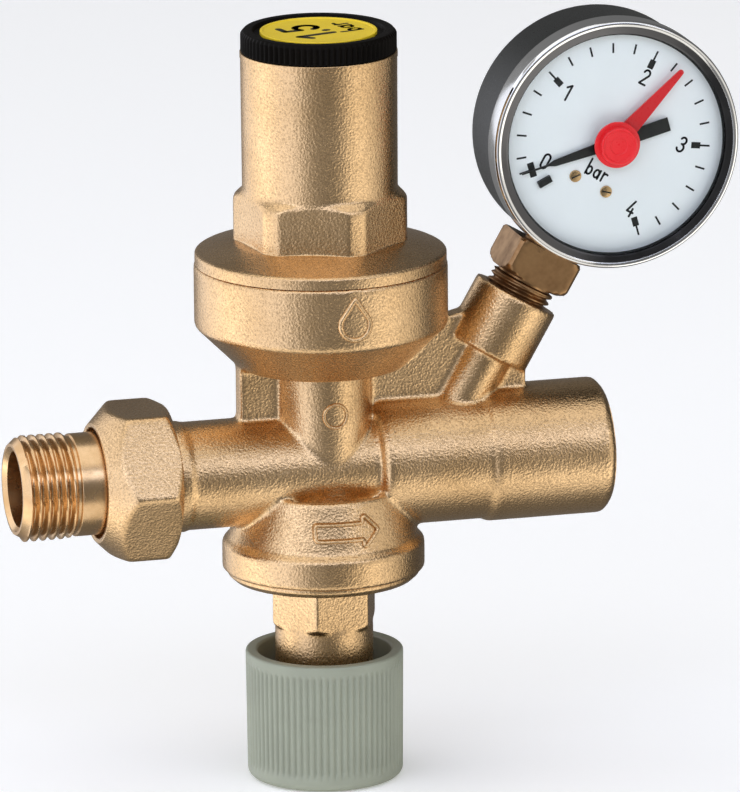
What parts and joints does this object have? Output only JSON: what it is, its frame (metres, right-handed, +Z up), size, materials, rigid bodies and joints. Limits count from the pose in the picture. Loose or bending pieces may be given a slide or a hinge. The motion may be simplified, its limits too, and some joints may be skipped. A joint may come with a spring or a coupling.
{
  "type": "pressure reducing valve",
  "caption": "Brass pressure reducing valve with spring housing and cap, union inlet, screwed outlet, shut-off knob and dial gauge.",
  "frame": {"origin": "centre of the inlet tailpiece's end face, on the pipe axis", "axes": "+X along the pipe in the direction of flow, +Z up along the valve axis towards the cap, -Y is the side the gauge faces"},
  "size_m": [0.1459, 0.0505, 0.1512],
  "materials": {
    "forged_brass": "sand-textured forging",
    "machined_brass": "turned",
    "dark_brass": "tarnished",
    "cap_black": "moulded, satin",
    "label_yellow": "printed",
    "knob_sage": "moulded, satin",
    "case_black": "satin enamel",
    "bezel_chrome": "polished",
    "window_clear": "clear",
    "dial_white": "printed enamel",
    "needle_black": "matt",
    "pointer_red": "moulded",
    "rubber": "moulded",
    "steel": "plain",
    "acetal": "moulded"
  },
  "bodies": {
    "valve": {"valve_body": "forged_brass", "bell_housing": "forged_brass", "slip_ring": "steel", "diaphragm": "rubber", "setting_spring": "steel", "stop_ring": "steel", "cartridge": "acetal", "cartridge_orings": "rubber", "obturator_spring": "steel", "strainer": "steel", "bottom_plug": "forged_brass", "plug_oring": "rubber", "check_valve_body": "acetal", "check_spring": "steel", "check_retainer": "steel", "gauge_socket": "dark_brass", "gauge_case": "case_black", "gauge_bezel": "bezel_chrome", "gauge_window": "window_clear", "window_gasket": "rubber", "dial": "dial_white", "dial_screws": "machined_brass", "stop_pin": "needle_black", "hairspring": "machined_brass", "movement_plates": "machined_brass", "movement_pillars": "machined_brass", "bourdon_tube": "machined_brass", "bourdon_tip": "machined_brass"},
    "tailpiece": {"inlet_tailpiece": "machined_brass", "union_gasket": "rubber"},
    "nut": {"union_nut": "forged_brass"},
    "cap": {"cap": "cap_black", "cap_label": "label_yellow"},
    "spring_plate": {"upper_spring_plate": "steel"},
    "adjuster": {"adjusting_plug": "machined_brass"},
    "reducer": {"spindle": "machined_brass", "piston_oring": "rubber", "obturator": "machined_brass", "obturator_seal": "rubber", "diaphragm_washer": "machined_brass", "lower_spring_plate": "steel", "diaphragm_nut": "steel"},
    "shutoff_valve": {"shutoff_disc": "machined_brass", "shutoff_washer": "rubber"},
    "shutoff_knob": {"shutoff_stem": "machined_brass", "stem_orings": "rubber", "knob": "knob_sage", "knob_screw": "steel"},
    "check_flap": {"check_disc": "acetal"},
    "needle": {"needle": "needle_black", "pinion_arbor": "steel"},
    "sector": {"sector_gear": "machined_brass"},
    "link": {"gauge_link": "machined_brass"},
    "set_pointer": {"set_pointer": "pointer_red", "set_knob": "pointer_red"}
  },
  "joints": [
    {"name": "union_open", "type": "slide", "parent": "valve", "child": "tailpiece", "axis": [-1, 0, 0], "range_m": [0, 0.005]},
    {"name": "union_turn", "type": "hinge", "parent": "tailpiece", "child": "nut", "pos_m": [0.02, 0, 0], "axis": [-1, 0, 0], "range_deg": [0, 1201]},
    {"name": "cap_lift", "type": "slide", "parent": "valve", "child": "cap", "axis": [0, 0, 1], "range_m": [0, 0.03]},
    {"name": "adjust_travel", "type": "slide", "parent": "valve", "child": "spring_plate", "axis": [0, 0, 1], "range_m": [-0.005, 0.003], "deforming": ["setting_spring"]},
    {"name": "adjust_turn", "type": "hinge", "parent": "spring_plate", "child": "adjuster", "pos_m": [0.063, 0, 0.071], "axis": [0, 0, 1], "range_deg": [-1201, 721]},
    {"name": "reducer_lift", "type": "slide", "parent": "valve", "child": "reducer", "axis": [0, 0, 1], "range_m": [0, 0.0019], "stiffness_N_per_m": 2000, "springref_m": -0.002, "deforming": ["diaphragm", "obturator_spring"]},
    {"name": "shutoff_travel", "type": "slide", "parent": "valve", "child": "shutoff_valve", "axis": [0, 0, 1], "range_m": [0, 0.004]},
    {"name": "shutoff_turn", "type": "hinge", "parent": "shutoff_valve", "child": "shutoff_knob", "pos_m": [0.063, 0, -0.05], "axis": [0, 0, 1], "range_deg": [0, 961]},
    {"name": "check_open", "type": "slide", "parent": "valve", "child": "check_flap", "axis": [1, 0, 0], "range_m": [0, 0.004], "stiffness_N_per_m": 20, "springref_m": -0.002, "deforming": ["check_spring"]},
    {"name": "needle_turn", "type": "hinge", "parent": "valve", "child": "needle", "pos_m": [0.12095, 0, 0.06299], "axis": [0, 1, 0], "range_deg": [0, 270], "stiffness_Nm_per_rad": 0.0001, "springref_deg": -28.65, "deforming": ["hairspring"]},
    {"name": "sector_turn", "type": "hinge", "parent": "valve", "child": "sector", "pos_m": [0.1157, 0, 0.0539], "axis": [0, 1, 0], "range_deg": [-45.05, 0.05]},
    {"name": "link_swing", "type": "hinge", "parent": "sector", "child": "link", "pos_m": [0.11874, 0, 0.04993], "axis": [0, 1, 0], "range_deg": [-0.05, 45.05]},
    {"name": "set_pointer_turn", "type": "hinge", "parent": "valve", "child": "set_pointer", "pos_m": [0.12095, 0, 0.06299], "axis": [0, 1, 0], "range_deg": [-150.19, 119.81]}
  ],
  "couplings": [
    {"joint": "union_turn", "follows": "union_open", "rad_per_m": 4188.8},
    {"joint": "adjust_turn", "follows": "adjust_travel", "rad_per_m": 4188.8},
    {"joint": "shutoff_turn", "follows": "shutoff_travel", "rad_per_m": 4188.8},
    {"joint": "sector_turn", "follows": "needle_turn", "ratio": -0.16667},
    {"joint": "link_swing", "follows": "needle_turn", "ratio": 0.16667}
  ]
}
